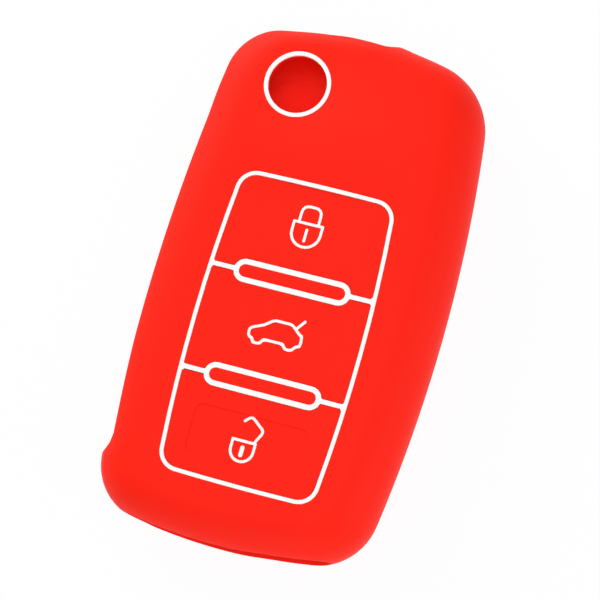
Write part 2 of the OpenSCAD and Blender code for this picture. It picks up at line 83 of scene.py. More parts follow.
# Corner radii, from the corner between grip side and window end, anticlockwise
CORNER_RS = (10.2 * MM, 9.7 * MM, 8.5 * MM, 9.4 * MM)
FLAT_CORNER_R = 5 * MM
EDGE_FULLNESS = 2.2
SHOULDER_TUCK = 1.3 * MM
# Round the window the flat front reaches out this much further, over this far along the outline
WINDOW_FLAT = 1.4 * MM
WINDOW_FLAT_REACH = 16 * MM
# The cut lets the blade slot's front lip sag in, the most near the slot's start
LIP_SAG = 0.28 * MM
LIP_SAG_REACH = 19 * MM

# Pieces of the outline that the slots, the window and the swells name
WINDOW_END, BLADE_WINDOW_CORNER, BLADE_SIDE = 2, 3, 4
BLADE_RING_CORNER, RING_END, RING_GRIP_CORNER = 5, 6, 7
# Where the soft wall bows out beyond the solids: a piece of the outline, an axis and a coordinate
# along it, then how far the swell reaches along the outline and how far it stands out
SWELLS = (
    (WINDOW_END, X, 1.5 * MM, 7 * MM, 0.2 * MM),
    (BLADE_WINDOW_CORNER, Y, 33 * MM, 12 * MM, 0.25 * MM),
    (RING_END, X, -5 * MM, 12 * MM, 0.2 * MM),
)

# The two slots: their lips' heights, corner radii and ends
BLADE_SLOT_LOW = 5.5 * MM
BLADE_SLOT_HIGH = 15 * MM
BLADE_SLOT_CORNER = 2 * MM
BLADE_SLOT_START_Y = -30.7 * MM
BLADE_SLOT_END_X = 5.4 * MM
RING_SLOT_LOW = 6 * MM
RING_SLOT_HIGH = 12.5 * MM
RING_SLOT_CORNER = 3.1 * MM
RING_SLOT_X = -0.4 * MM
RING_SLOT_HALF = 16 * MM
# Lips on the ring's side of this belong to the ring slot
BETWEEN_SLOTS_Y = BLADE_SLOT_START_Y - 1 * MM

# Cells of the sleeve's skins
COLUMN_STEP = 0.9 * MM
BACK_STEPS = 12
CORNER_STEPS = 6
MIDDLE_STEPS = 4
FRONT_STEPS = 14
GUARD = 0.4 * MM
# A place this far past a column is inside the cell that follows it
INTO_CELL = COLUMN_STEP / 4
# How far along the outline a slot's round end still bends the skin's columns
END_REACH = 8 * MM
# How far beside the ring slot its heights fade into those of the blade slot
RING_FADE = 10 * MM
# Halvings that find a place on a piece of the outline
HALVINGS = 40

# Walls of the shell's grooves, pad openings and window lie within this of the keypad or the
# window ring, and reach no lower than this under the front wall
PLATE_MARGIN = 0.2 * MM
PLATE_DEPTH = 1 * MM
# The red islands inside the two long loops lie this far inside the keypad's sides and ends
ISLAND_SIDE_MARGIN = 3 * MM
ISLAND_END_MARGIN = 10 * MM
# A normal this upright belongs to a floor or a top
UPRIGHT = 0.5

# Top edges within this depth of the face are softened
RIM_DEPTH = 0.5 * MM
# A rim lies between a wall and a top whose normals are at least this close to level and upright
SQUARENESS = 0.95
# Upright corners sharper than this are where two white lines meet
JOIN_ANGLE = math.radians(35)
# Corners of a web that turn by more than this, in radians, are rounded
WEB_CORNER_ANGLE = 1
FLAT_ANGLE = math.radians(0.02)
ROUND_PROFILE = 0.5
LIP_SEGMENTS = 3
RIM_SEGMENTS = 2
JOIN_SEGMENTS = 4
# Edges that turn by more than this stay sharp; so do the rims of the white lines and of the dishes
CREASE = math.radians(35)
LINE_CREASE = math.radians(12)
DISH_CREASE = math.radians(2)

# Silicone, with the scales of its clouds, grain and dust in features to a metre
RED_SILICONE = "red silicone"
WHITE_SILICONE = "white silicone"
CLOUD_SCALE = 90
CLOUD_DETAIL = 3
CLOUD_STRENGTH = 0.5
CLOUD_TONE = 0.94
GRAIN_SCALE = 2600
GRAIN_DETAIL = 2
SPECK_SCALE = 260
SPECK_SIZE = 0.04
SPECK_SHARE = 0.1
SPECK_RISE = 2
ROUGHNESS_SWING = 0.08
BUMP_STRENGTH = 0.12
BUMP_DEPTH = 0.03 * MM
SILICONE_IOR = 1.41
SPECULAR_LEVEL = 0.1

KEYS = ("lock", "boot", "unlock")
SYMBOLS = (
    ("lock_symbol", "closed_padlock", "lock_key"), ("lock_keyway", "closed_keyway", "lock_key"),
    ("boot_symbol", "open_car", "boot_key"), ("unlock_symbol", "open_padlock", "unlock_key"),
    ("unlock_keyway", "open_keyway", "unlock_key"),
)

# The stage: floor, room, lamps as name, place, target, size and power, and the camera
FLOOR_HALF = 1.5
FLOOR_Z = -0.05 * MM
FLOOR_COLOUR = (0.9, 0.9, 0.9)
FLOOR_GLOW = 0.95
ROOM_STRENGTH = 0.44
LAMPS = (
    ("front light", (0.07, -0.05, 0.42), (0, 0, 0), 0.12, 0.46),
    ("key light", (-0.25, 0.24, 0.15), (0, 0, 0), 0.3, 1.22),
    ("right light", (0.4, -0.05, 0.12), (0, 0, 0.01), 0.2, 0.45),
    ("low light", (0.05, -0.4, 0.12), (0, 0, 0.01), 0.2, 0.4),
)
SENSOR = 36
FRAME_PIXELS = 600
HALF_PIXEL = 0.5
FOCAL_PIXELS = 2169.9
CLIP_START = 10 * MM
CAMERA_PLACE = (66.43 * MM, -47.41 * MM, 321.79 * MM)
CAMERA_TARGET = (-1.323 * MM, 0.223 * MM, 0)
CAMERA_ROLL = math.radians(-39.9)

# Points closer than this are one, those that roundings leave if they are closer than a sliver,
# and heights closer than the last are the same
MERGE = 1e-6
SLIVER = 1e-7
SAME_HEIGHT = 1e-5
SIDES = 4
QUARTER = math.pi / 2


def smooth_step(t):
    """Rises from 0 at 0 to 1 at 1, level at both ends."""
    t = min(1, max(0, t))
    return t * t * (3 - 2 * t)


def mixed(a, b, share):
    """The value at a share of the way from a to b."""
    return a + (b - a) * share


def nearness(gap, reach):
    """1 up to half the reach away, falling to 0 at the whole of it."""
    return smooth_step(2 - 2 * abs(gap) / reach)


def edge_share(rise):
    """How far the pillowed edge has drawn in at a share of its height over or under the rim."""
    return 1 - (1 - min(1, rise) ** EDGE_FULLNESS) ** (1 / EDGE_FULLNESS)


def rise_at(angle):
    """The share of an edge's height at an angle along its quarter turn."""
    return math.sin(angle) ** (2 / EDGE_FULLNESS)


def angle_at(rise):
    """The angle along an edge's quarter turn at a share of its height."""
    return math.asin(min(1, rise) ** (EDGE_FULLNESS / 2))


def angle_near(v, near):
    """A direction's angle, with the whole turns that bring it nearest to another."""
    angle = math.atan2(v.y, v.x)
    return angle + math.tau * round((near - angle) / math.tau)


def corner_centre(first, second, corner):
    """Centre of the corner circle that touches two large arcs from inside."""
    (a, a_r), (b, b_r) = first, second
    ra, rb = a_r - corner, b_r - corner
    gap = (b - a).length
    along_line = (b - a) / gap
    along = (ra ** 2 - rb ** 2 + gap ** 2) / (2 * gap)
    out = math.sqrt(max(0, ra ** 2 - along ** 2))
    return a + along * along_line + out * Vector((-along_line.y, along_line.x))


class Outline:
    """Four bowed sides and the corners between them, run anticlockwise from the grip side."""

    def __init__(self, sides, corners):
        centres = [
            corner_centre(sides[i], sides[(i + 1) % SIDES], corners[i]) for i in range(SIDES)
        ]
        self.arcs = []
        for i in range(SIDES):
            centre, radius = sides[i]
            start = angle_near(centres[i - 1] - centre, QUARTER * i)
            end = angle_near(centres[i] - centre, QUARTER * i)
            turned = angle_near(centres[i] - sides[(i + 1) % SIDES][0], QUARTER * (i + 1))
            self.arcs.append((centre, radius, start, end))
            self.arcs.append((centres[i], corners[i], end, turned))

    def point(self, place):
        """A point of the outline: the whole part of place picks the arc, the rest runs along it."""
        piece = math.floor(place)
        centre, radius, start, end = self.arcs[piece % len(self.arcs)]
        angle = mixed(start, end, place - piece)
        return centre + radius * Vector((math.cos(angle), math.sin(angle)))


def body_outline(sizes, in_x, in_y, corner_share, trim):
    """The cover's outline, drawn in at the sides and at the ends, as the solids have it."""
    rim = sizes.height / 2
    blade_lip = sizes.back_side_shoulder * edge_share((rim - BLADE_SLOT_LOW) / rim)
    window_lip = sizes.back_end_shoulder * edge_share((rim - BLADE_SLOT_LOW) / rim)
    ring_lip = sizes.back_end_shoulder * edge_share((rim - RING_SLOT_LOW) / rim)
    half_w = sizes.width / 2 - in_x
    half_l = sizes.length / 2 - in_y
    grip, blade = GRIP_SIDE_R - in_x, BLADE_SIDE_R - in_x
    window, ring = WINDOW_END_R - in_y, RING_END_R - in_y
    return Outline(
        [
            (Vector((half_w - grip, GRIP_APEX_Y)), grip),
            (Vector((WINDOW_APEX_X, half_l + window_lip - window)), window),
            (Vector((blade - half_w - blade_lip, BLADE_APEX_Y)), blade),
            (Vector((RING_APEX_X, ring - half_l - ring_lip)), ring),
        ],
        [mixed(r, FLAT_CORNER_R, corner_share) - trim for r in CORNER_RS],
    )


class Skin:
    """One skin of the sleeve's wall: the outside, or the inside that the walls leave."""

    def __init__(self, sizes, inside):
        self.sizes = sizes
        tuck = SHOULDER_TUCK if inside else 0
        self.wall = sizes.side_wall if inside else 0
        self.rim = sizes.height / 2
        self.front_reach = self.rim - (sizes.front_wall if inside else 0)
        self.back_reach = self.rim - (sizes.back_wall if inside else 0)
        self.front = (sizes.front_side_shoulder - tuck, sizes.front_end_shoulder - tuck)
        self.back = (sizes.back_side_shoulder - tuck, sizes.back_end_shoulder - tuck)

    def spot(self, run, distance, z, inset=0):
        """The point of the skin at a distance along the outline and a height."""
        over = z - self.rim
        side, end = self.front if over > 0 else self.back
        reach = self.front_reach if over > 0 else self.back_reach
        share = edge_share(abs(over) / reach)
        in_x = self.wall + side * share + inset
        in_y = self.wall + end * share + inset
        swell = run.swell(distance) * (1 - share)
        in_x -= swell
        in_y -= swell
        if over > 0:
            lip_share = edge_share((BLADE_SLOT_HIGH - self.rim) / reach)
            over_lip = smooth_step((share - lip_share) / (1 - lip_share))
            in_y -= WINDOW_FLAT * over_lip * run.near_window(distance)
            in_x += LIP_SAG * run.lip_sag(distance) * (1 - over_lip)
        outline = body_outline(self.sizes, in_x, in_y, share, self.wall * (1 - share))
        flat = outline.point(run.place(distance))
        return Vector((flat.x, flat.y, z))


class Run:
    """Distances along the cover's widest outline, turned into places on any of its outlines."""

    def __init__(self, sizes):
        self.outline = body_outline(sizes, 0, 0, 0, 0)
        self.starts = [0]
        for _, radius, start, end in self.outline.arcs:
            self.starts.append(self.starts[-1] + radius * (end - start))
        self.length = self.starts[-1]
        self.window = self.distance(WINDOW_END, X, (RING_LOW.x + RING_HIGH.x) / 2)
        self.slot_start = self.distance(BLADE_SIDE, Y, BLADE_SLOT_START_Y)
        self.swells = [
            (self.distance(piece, axis, value), reach, out)
            for piece, axis, value, reach, out in SWELLS
        ]

    def near_window(self, distance):
        """1 beside the window, and 0 away from it."""
        return nearness(distance - self.window, WINDOW_FLAT_REACH)

    def swell(self, distance):
        """How far the soft wall bows out at a distance."""
        return sum(out * nearness(distance - place, reach) for place, reach, out in self.swells)

    def lip_sag(self, distance):
        """How much of its sag the blade slot's front lip has: none outside the slot."""
        before = self.slot_start - distance
        if before < 0:
            return 0
        return smooth_step(before / BLADE_SLOT_CORNER) * smooth_step(1 - before / LIP_SAG_REACH)

    def place(self, distance):
        """The place on an outline, as Outline.point takes it, at a distance along the widest one."""
        distance %= self.length
        piece = max(i for i, start in enumerate(self.starts[:-1]) if start <= distance)
        start, end = self.starts[piece], self.starts[piece + 1]
        return piece + (distance - start) / (end - start)

    def distance(self, piece, axis, value):
        """Where on one piece of the outline a coordinate has a value."""
        low, high = 0, 1
        rising = self.outline.point(piece + 1 - MERGE)[axis] > self.outline.point(piece)[axis]
        for _ in range(HALVINGS):
            middle = mixed(low, high, 1 / 2)
            if (self.outline.point(piece + middle)[axis] < value) == rising:
                low = middle
            else:
                high = middle
        return mixed(self.starts[piece], self.starts[piece + 1], low)


def ring_weight(distance, ring_slot):
    """1 along the ring slot, where its own heights hold, and 0 where the blade slot's do."""
    outside = max(ring_slot[0] - distance, distance - ring_slot[1], 0)
    return smooth_step(1 - outside / RING_FADE)


class Level:
    """One ring of cells round a skin; part tells which stretch of the wall it is in."""

    def __init__(self, part, share):
        self.part = part
        self.share = share

    def spot(self, skin, weight):
        """Height, the share of an end's corner radius that it moves by, and the extra inset."""
        low = mixed(BLADE_SLOT_LOW, RING_SLOT_LOW, weight)
        high = mixed(BLADE_SLOT_HIGH, RING_SLOT_HIGH, weight)
        corner = mixed(BLADE_SLOT_CORNER, RING_SLOT_CORNER, weight)
        turn = QUARTER * self.share
        if self.part == "back_guard":
            return skin.rim - skin.back_reach, 0, GUARD
        if self.part == "back":
            angle = mixed(QUARTER, angle_at((skin.rim - low) / skin.back_reach), self.share)
            return skin.rim - skin.back_reach * rise_at(angle), corner * smooth_step(self.share), 0
        if self.part == "low_corner":
            return low + corner * (1 - math.cos(turn)), corner * (1 - math.sin(turn)), 0
        if self.part == "middle":
            return mixed(low + corner, high - corner, self.share), 0, 0
        if self.part == "high_corner":
            return high - corner + corner * math.sin(turn), corner * (1 - math.cos(turn)), 0
        if self.part == "front":
            angle = mixed(angle_at((high - skin.rim) / skin.front_reach), QUARTER, self.share)
            shift = corner * (1 - smooth_step(self.share))
            return skin.rim + skin.front_reach * rise_at(angle), shift, 0
        return skin.rim + skin.front_reach, 0, GUARD


def wall_levels():
    """The levels from the flat back to the flat front, and those that bound the slots."""
    levels = [Level("back_guard", 0)]
    levels += [Level("back", k / BACK_STEPS) for k in range(BACK_STEPS + 1)]
    slot_low = len(levels) - 1
    levels += [Level("low_corner", k / CORNER_STEPS) for k in range(1, CORNER_STEPS + 1)]
    levels += [Level("middle", k / MIDDLE_STEPS) for k in range(1, MIDDLE_STEPS + 1)]
    levels += [Level("high_corner", k / CORNER_STEPS) for k in range(1, CORNER_STEPS + 1)]
    slot_high = len(levels) - 1
    levels += [Level("front", k / FRONT_STEPS) for k in range(1, FRONT_STEPS + 1)]
    levels.append(Level("front_guard", 0))
    return levels, slot_low, slot_high


def slot_ends(run):
    """Distances of the ends of the blade slot and of the ring slot along the outline."""
    blade = (run.distance(WINDOW_END, X, BLADE_SLOT_END_X), run.slot_start)
    ring = (
        run.distance(BLADE_RING_CORNER, X, RING_SLOT_X - RING_SLOT_HALF),
        run.distance(RING_GRIP_CORNER, X, RING_SLOT_X + RING_SLOT_HALF),
    )
    return blade, ring


def column_distances(run, stops):
    """Distances of the columns, with one at each stop and the others spread evenly between."""
    columns = []
    for i, stop in enumerate(stops):
        after = stops[i + 1] if i + 1 < len(stops) else stops[0] + run.length
        count = round((after - stop) / COLUMN_STEP)
        columns += [stop + (after - stop) * k / count for k in range(count)]
    return columns


def end_shift(distance, ends, shift):
    """How far a column moves to follow the round ends of a slot."""
    moved = 0
    for start, stop in ends:
        moved += shift * smooth_step(1 - abs(distance - start) / END_REACH)
        moved -= shift * smooth_step(1 - abs(distance - stop) / END_REACH)
    return moved


def roll_skin(bm, skin, run, columns, levels, slot_low, slot_high, ends):
    """A sheet of one cell to a column and a level, opened at the slots and rolled into a skin."""
    count = len(columns)
    made = bmesh.ops.create_grid(bm, x_segments=count, y_segments=len(levels) - 1, size=1)
    indices = {
        v: (round((v.co.x + 1) / 2 * count), round((v.co.y + 1) / 2 * (len(levels) - 1)))
        for v in made["verts"]
    }
    in_slot = []
    for face in {f for v in made["verts"] for f in v.link_faces}:
        column = min(indices[v][0] for v in face.verts)
        level = min(indices[v][1] for v in face.verts)
        inside = columns[column] + INTO_CELL
        if slot_low <= level < slot_high and any(a < inside < b for a, b in ends):
            in_slot.append(face)
    bmesh.ops.delete(bm, geom=in_slot, context="FACES")
    for v, (column, level) in indices.items():
        if not v.is_valid:
            continue
        distance = columns[column % count]
        z, shift, inset = levels[level].spot(skin, ring_weight(distance % run.length, ends[1]))
        v.co = skin.spot(run, (distance + end_shift(distance, ends, shift)) % run.length, z, inset)
    verts = [v for v in indices if v.is_valid]
    bmesh.ops.remove_doubles(bm, verts=verts, dist=MERGE)


def loop_at(bm, z):
    """The open edges at a height."""
    return [
        e for e in bm.edges
        if e.is_boundary and all(abs(v.co.z - z) < SAME_HEIGHT for v in e.verts)
    ]


def in_box(co, low, high, side, end):
    """Whether a point is inside a box, grown by a margin at its sides and one at its ends."""
    across = low.x - side < co.x < high.x + side
    return across and low.y - end < co.y < high.y + end


def in_plate(co):
    """Whether a point is by the keypad or the window, and not on the pillowed edge."""
    in_keypad = in_box(co, KEYPAD_LOW, KEYPAD_HIGH, PLATE_MARGIN, PLATE_MARGIN)
    return in_keypad or in_box(co, RING_LOW, RING_HIGH, PLATE_MARGIN, PLATE_MARGIN)


def in_island(co):
    """Whether a point may be on a red island inside one of the two long loops."""
    return in_box(co, KEYPAD_LOW, KEYPAD_HIGH, -ISLAND_SIDE_MARGIN, -ISLAND_END_MARGIN)


def keep_openings(bm, ceiling):
    """Of a copy of the shell, keep the walls and floors of its grooves, pad openings and window."""
    drop = []
    for face in bm.faces:
        lowest = min(v.co.z for v in face.verts)
        keep = lowest > ceiling - PLATE_DEPTH and all(in_plate(v.co) for v in face.verts)
        if keep and abs(face.normal.z) > UPRIGHT and abs(lowest - GROOVE_Z) > SAME_HEIGHT:
            keep = lowest > GROOVE_Z and all(in_island(v.co) for v in face.verts)
        if not keep:
            drop.append(face)
    bmesh.ops.delete(bm, geom=drop, context="FACES")
    for v in bm.verts:
        v.co.z = min((ceiling, GROOVE_Z, SHELL_HIGH.z), key=lambda z: abs(z - v.co.z))


def fill_between(bm, edges):
    """Fills the area between loops of edges at one height."""
    bmesh.ops.triangle_fill(bm, use_beauty=True, use_dissolve=False, edges=edges)


def merged_copy(node):
    """A copy of a solid's mesh with its triangles joined into one skin."""
    bm = bmesh.new()
    bm.from_mesh(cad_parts[node].data)
    bmesh.ops.remove_doubles(bm, verts=bm.verts, dist=MERGE)
    return bm


def whole_copy(node):
    """A copy of a solid's mesh with each of its flat faces whole."""
    bm = merged_copy(node)
    bmesh.ops.dissolve_limit(
        bm, angle_limit=FLAT_ANGLE, use_dissolve_boundaries=False, verts=bm.verts,
        edges=bm.edges, delimit=set(),
    )
    return bm


def round_edges(bm, edges, width, segments):
    """Rounds edges off, starting this far from each."""
    bmesh.ops.bevel(
        bm, geom=edges, affect="EDGES", offset=width, segments=segments, profile=ROUND_PROFILE,
        material=-1,
    )


def build_sleeve(sizes):
    """The sleeve: two pillowed skins with two slots, and a front plate with its openings."""
    run = Run(sizes)
    levels, slot_low, slot_high = wall_levels()
    ends = slot_ends(run)
    columns = column_distances(run, [d for pair in ends for d in pair])
    skins = [Skin(sizes, False), Skin(sizes, True)]
    bm = merged_copy("shell")
    keep_openings(bm, skins[1].rim + skins[1].front_reach)
    for skin in skins:
        roll_skin(bm, skin, run, columns, levels, slot_low, slot_high, ends)
    for skin in skins:
        for z in (skin.rim - skin.back_reach, skin.rim + skin.front_reach):
            fill_between(bm, loop_at(bm, z))
    lips = [e for e in bm.edges if e.is_boundary]
    in_ring_end = [e for e in lips if e.verts[0].co.y < BETWEEN_SLOTS_Y]
    for slot in (in_ring_end, [e for e in lips if e not in in_ring_end]):
        bmesh.ops.bridge_loops(bm, edges=slot)
    bmesh.ops.recalc_face_normals(bm, faces=bm.faces)
    round_edges(bm, lips, sizes.lip_round, LIP_SEGMENTS)
    round_rims(bm, sizes.rim_round)
    bmesh.ops.recalc_face_normals(bm, faces=bm.faces)
    return bm


def round_rims(bm, width):
    """Takes the sharpness off the edges between level tops and upright walls."""
    rims = []
    for edge in bm.edges:
        if not edge.is_manifold or not edge.is_convex:
            continue
        wall, top = sorted(edge.link_faces, key=lambda face: abs(face.normal.z))
        on_top = min(v.co.z for v in edge.verts) > PAD_TOP - RIM_DEPTH
        if on_top and wall.normal.xy.length > SQUARENESS and abs(top.normal.z) > SQUARENESS:
            rims.append(edge)
    round_edges(bm, rims, width, RIM_SEGMENTS)


def round_joins(bm, width):
    """Rounds the upright corners that the white frame and the pads have where the lines meet."""
    joins = []
    for edge in bm.edges:
        a, b = edge.verts
        upright = (a.co - b.co).xy.length < MERGE and max(a.co.z, b.co.z) > PAD_TOP - RIM_DEPTH
        if upright and edge.is_manifold and edge.calc_face_angle(0) > JOIN_ANGLE:
            joins.append(edge)
    round_edges(bm, joins, width, JOIN_SEGMENTS)


def build_from_solid(node, width, joins=0):
    """A copy of a solid with whole flat faces, rounded joins and softened top edges."""
    bm = whole_copy(node)
    if joins:
        round_joins(bm, joins)
    round_rims(bm, width)
    bmesh.ops.remove_doubles(bm, verts=bm.verts, dist=SLIVER)
    bmesh.ops.dissolve_degenerate(bm, dist=SLIVER, edges=bm.edges)
    return bm


def build_web(node, width):
    """A web with all its outer corners rounded, as thin rubber comes out of its mould."""
    bm = whole_copy(node)
    corners = [
        e for e in bm.edges if e.is_manifold and e.calc_face_angle(0) > WEB_CORNER_ANGLE
    ]
    round_edges(bm, corners, width, RIM_SEGMENTS)
    return bm


def as_piece(bm, name, material, node, body, sharp):
    """Makes the mesh a piece that stands for a solid and rides on its body."""
    mesh = bpy.data.meshes.new(name)
    bm.to_mesh(mesh)
    bm.free()
    mesh.shade_smooth()
    mesh.set_sharp_from_angle(angle=sharp)
    piece = bpy.data.objects.new(name, mesh)
    bpy.context.scene.collection.objects.link(piece)
    piece.data.materials.append(material)
    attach(piece, body)
    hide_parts(node)
    return piece


def rgba(colour):
    """An opaque colour."""
    return (*colour, 1)


def link(tree, source, target):
    """Joins an output of one node to an input of another."""
    tree.links.new(source, target)


def add_node(tree, kind, **values):
    """A new node with some of its properties set."""
    node = tree.nodes.new(kind)
    for name, value in values.items():
        setattr(node, name, value)
    return node


def maths(tree, operation, first, second, clamp=False):
    """A Math node; each input is a number or another node's output."""
    node = add_node(tree, "ShaderNodeMath", operation=operation, use_clamp=clamp)
    for socket, value in zip(node.inputs, (first, second)):
        if isinstance(value, (int, float)):
            socket.default_value = value
        else:
            link(tree, value, socket)
    return node.outputs[0]


def mixed_colour(tree, factor, first, second):
    """A blend of two colours, with the factor taken from another node."""
    node = add_node(tree, "ShaderNodeMix", data_type="RGBA")
    link(tree, factor, node.inputs["Factor"])
    link(tree, first, node.inputs["A"])
    link(tree, second, node.inputs["B"])
    return node.outputs["Result"]


def add_noise(tree, place, scale, detail):
    """A noise texture at a place, of a scale in features to a metre."""
    node = add_node(tree, "ShaderNodeTexNoise")
    node.inputs["Scale"].default_value = scale
    node.inputs["Detail"].default_value = detail
    link(tree, place, node.inputs["Vector"])
    return node


def silicone_skin_group():
    """Moulded silicone: cloudy tone, fine grain and a few specks of dust that cling to it."""
    group = bpy.data.node_groups.new("Silicone skin", "ShaderNodeTree")
    face = group.interface
    for name in ("Colour", "Cloud colour", "Dust colour"):
        face.new_socket(name=name, in_out="INPUT", socket_type="NodeSocketColor")
    for name in ("Roughness", "Dust"):
        face.new_socket(name=name, in_out="INPUT", socket_type="NodeSocketFloat")
    face.new_socket(name="Colour", in_out="OUTPUT", socket_type="NodeSocketColor")
    for name in ("Roughness", "Height"):
        face.new_socket(name=name, in_out="OUTPUT", socket_type="NodeSocketFloat")
    given = add_node(group, "NodeGroupInput")
    made = add_node(group, "NodeGroupOutput")
    place = add_node(group, "ShaderNodeTexCoord").outputs["Object"]
    clouds = add_noise(group, place, CLOUD_SCALE, CLOUD_DETAIL)
    grain = add_noise(group, place, GRAIN_SCALE, GRAIN_DETAIL)
    specks = add_node(group, "ShaderNodeTexVoronoi")
    specks.inputs["Scale"].default_value = SPECK_SCALE
    link(group, place, specks.inputs["Vector"])
    split = add_node(group, "ShaderNodeSeparateColor")
    link(group, specks.outputs["Color"], split.inputs["Color"])
    near = maths(group, "LESS_THAN", specks.outputs["Distance"],
                 maths(group, "MULTIPLY", split.outputs["Green"], SPECK_SIZE))
    chosen = maths(group, "GREATER_THAN", split.outputs["Red"], 1 - SPECK_SHARE)
    speck = maths(group, "MULTIPLY", maths(group, "MULTIPLY", near, chosen), given.outputs["Dust"])
    cloud = maths(group, "MULTIPLY", clouds.outputs["Fac"], CLOUD_STRENGTH)
    toned = mixed_colour(group, cloud, given.outputs["Colour"], given.outputs["Cloud colour"])
    dusted = mixed_colour(group, speck, toned, given.outputs["Dust colour"])
    link(group, dusted, made.inputs["Colour"])
    lifted = maths(group, "MULTIPLY_ADD", clouds.outputs["Fac"], ROUGHNESS_SWING)
    link(group, given.outputs["Roughness"], lifted.node.inputs[2])
    link(group, maths(group, "ADD", lifted, speck, clamp=True), made.inputs["Roughness"])
    height = maths(group, "ADD", grain.outputs["Fac"], maths(group, "MULTIPLY", speck, SPECK_RISE))
    link(group, height, made.inputs["Height"])
    return group


def silicone_group():
    """The node group of every silicone, made on first use."""
    return bpy.data.node_groups.get("Silicone skin") or silicone_skin_group()


def silicone(name, colour, cloud, dust_colour, roughness, dust):
    """Satin silicone of one colour; what is the same all over is set on the shader itself."""
    material = bpy.data.materials.new(name)
    material.use_nodes = True
    tree = material.node_tree
    shader = tree.nodes["Principled BSDF"]
    skin = add_node(tree, "ShaderNodeGroup", node_tree=silicone_group())
    skin.inputs["Colour"].default_value = rgba(colour)
    skin.inputs["Cloud colour"].default_value = rgba(cloud)
    skin.inputs["Dust colour"].default_value = rgba(dust_colour)
    skin.inputs["Roughness"].default_value = roughness
    skin.inputs["Dust"].default_value = dust
    bump = add_node(tree, "ShaderNodeBump")
    bump.inputs["Strength"].default_value = BUMP_STRENGTH
    bump.inputs["Distance"].default_value = BUMP_DEPTH
    link(tree, skin.outputs["Height"], bump.inputs["Height"])
    link(tree, skin.outputs["Colour"], shader.inputs["Base Color"])
    link(tree, skin.outputs["Roughness"], shader.inputs["Roughness"])
    link(tree, bump.outputs["Normal"], shader.inputs["Normal"])
    shader.inputs["IOR"].default_value = SILICONE_IOR
    shader.inputs["Specular IOR Level"].default_value = SPECULAR_LEVEL
    material.diffuse_color = rgba(colour)
    return material


def silicone_material(name):
    """The named silicone, made on first use."""
    found = bpy.data.materials.get(name)
    if found:
        return found
    tones = bpy.context.scene.cover_colours
    if name == WHITE_SILICONE:
        return silicone(name, tones.white, tones.white_cloud, tones.white_dust,
                        tones.white_roughness, tones.dust)
    cloud = [c * CLOUD_TONE for c in tones.red]
    return silicone(name, tones.red, cloud, tones.red_dust, tones.red_roughness, tones.dust)


class CoverSizes(bpy.types.PropertyGroup):
    """Sizes of the sleeve."""

    length: FloatProperty(
        name="Length", description="Length along the body", unit="LENGTH",
        default=SHELL_HIGH.y - SHELL_LOW.y,
    )
    width: FloatProperty(
        name="Width", description="Width across the grip", unit="LENGTH", default=45 * MM
    )
    height: FloatProperty(
        name="Height", description="Height from the back to the front face", unit="LENGTH",
        default=SHELL_HIGH.z - SHELL_LOW.z,
    )
    front_wall: FloatProperty(
        name="Front wall", description="Thickness of the front wall", unit="LENGTH", default=1.6 * MM
    )
    side_wall: FloatProperty(
        name="Side wall", description="Thickness of the side and end walls", unit="LENGTH",
        default=1.6 * MM,
    )
    back_wall: FloatProperty(
        name="Back wall", description="Thickness of the back wall", unit="LENGTH", default=1.4 * MM
    )
    front_side_shoulder: FloatProperty(
        name="Front side shoulder", description="Width of the pillowed edge along the sides",
        unit="LENGTH", default=7.7 * MM,
    )
    front_end_shoulder: FloatProperty(
        name="Front end shoulder", description="Width of the pillowed edge at the ends",
        unit="LENGTH", default=6.2 * MM,
    )
    back_side_shoulder: FloatProperty(
        name="Back side shoulder", description="Width of the back's edge along the sides",
        unit="LENGTH", default=5.7 * MM,
    )
    back_end_shoulder: FloatProperty(
        name="Back end shoulder", description="Width of the back's edge at the ends",
        unit="LENGTH", default=5 * MM,
    )
    lip_round: FloatProperty(
        name="Lip rounding", description="Rounding of the slots' lips", unit="LENGTH",
        default=0.15 * MM,
    )
    rim_round: FloatProperty(
        name="Rim rounding", description="Rounding of grooves, pads and white lines",
        unit="LENGTH", default=0.05 * MM,
    )
    join_round: FloatProperty(
        name="Join rounding", description="Rounding where two white lines meet", unit="LENGTH",
        default=0.33 * MM,
    )
    web_round: FloatProperty(
        name="Web rounding", description="Rounding of the webs' corners", unit="LENGTH",
        default=0.08 * MM,
    )


class CoverColours(bpy.types.PropertyGroup):
    """Colours and finish of the silicone."""

    red: FloatVectorProperty(
        name="Red", description="Colour of the sleeve and its pads", subtype="COLOR", size=3,
        default=(0.97, 0.0165, 0.006), min=0, max=1,
    )
    red_dust: FloatVectorProperty(
        name="Dust on red", description="Colour of dust on the red silicone", subtype="COLOR",
        size=3, default=(0.95, 0.16, 0.13), min=0, max=1,
    )
    white: FloatVectorProperty(
        name="White", description="Colour of the filled lines", subtype="COLOR", size=3,
        default=(0.93, 0.93, 0.92), min=0, max=1,
    )
    white_cloud: FloatVectorProperty(
        name="Cloudy white", description="Tone of the filled lines where they are cloudy",
        subtype="COLOR", size=3, default=(0.9, 0.88, 0.86), min=0, max=1,
    )
    white_dust: FloatVectorProperty(
        name="Dust on white", description="Colour of dust on the white lines", subtype="COLOR",
        size=3, default=(0.7, 0.6, 0.57), min=0, max=1,
    )
    red_roughness: FloatProperty(
        name="Red roughness", description="Roughness of the red silicone", default=0.5, min=0, max=1
    )
    white_roughness: FloatProperty(
        name="White roughness", description="Roughness of the white lines", default=0.45,
        min=0, max=1,
    )
    dust: FloatProperty(
        name="Dust", description="How strongly specks of dust show", default=0.6, min=0, max=1
    )


class COVER_OT_sleeve(bpy.types.Operator):
    """Build the sleeve with its two slots, its window and its pad openings"""

    bl_idname = "cover.sleeve"
    bl_label = "Sleeve"

    def execute(self, context):
        bm = build_sleeve(context.scene.cover_sizes)
        as_piece(bm, "sleeve", silicone_material(RED_SILICONE), "shell", "cover",
                 CREASE)
        return {"FINISHED"}


